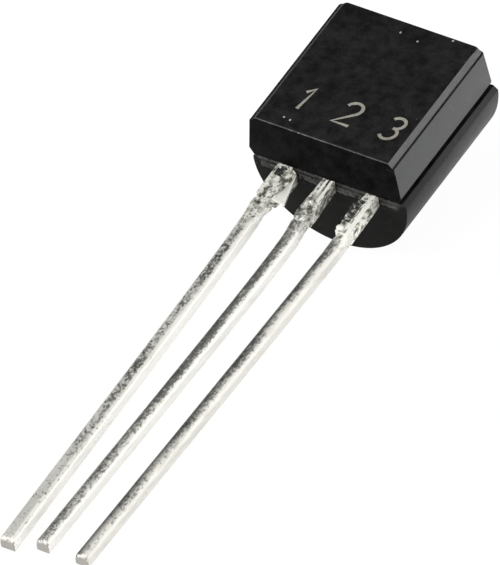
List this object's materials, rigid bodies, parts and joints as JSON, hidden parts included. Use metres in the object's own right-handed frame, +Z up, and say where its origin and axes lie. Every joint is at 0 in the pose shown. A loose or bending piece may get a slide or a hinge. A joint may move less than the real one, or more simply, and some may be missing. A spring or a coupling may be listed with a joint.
{
  "type": "to-92 transistor",
  "caption": "Small-signal transistor: black moulded case with a flat face and half-round back, and straight tin-plated leads in a row.",
  "frame": {"origin": "middle of the bounding box, on the surface that the transistor lies on", "axes": "+X across the case to the right when the marked face is read, -Y from the case towards the tips of the leads, +Z up, with the marked face upwards; the whole part leans 8.0 degrees about X, because it rests on the back rim of its case and on the tip of its longest lead"},
  "size_m": [0.0046, 0.0188, 0.0042],
  "materials": {
    "epoxy": "fine satin black moulding compound",
    "tin_plate": "bright tin plating with fine draw lines and dull mottling",
    "solder": "dull solder",
    "silicon": "polished silicon",
    "gold": "bright gold wire"
  },
  "bodies": {
    "root": {"moulded_body": "epoxy", "collector_lead": "tin_plate", "base_lead": "tin_plate", "emitter_lead": "tin_plate", "die_attach": "solder", "silicon_die": "silicon", "base_bond_wire": "gold", "emitter_bond_wire": "gold"}
  },
  "joints": []
}
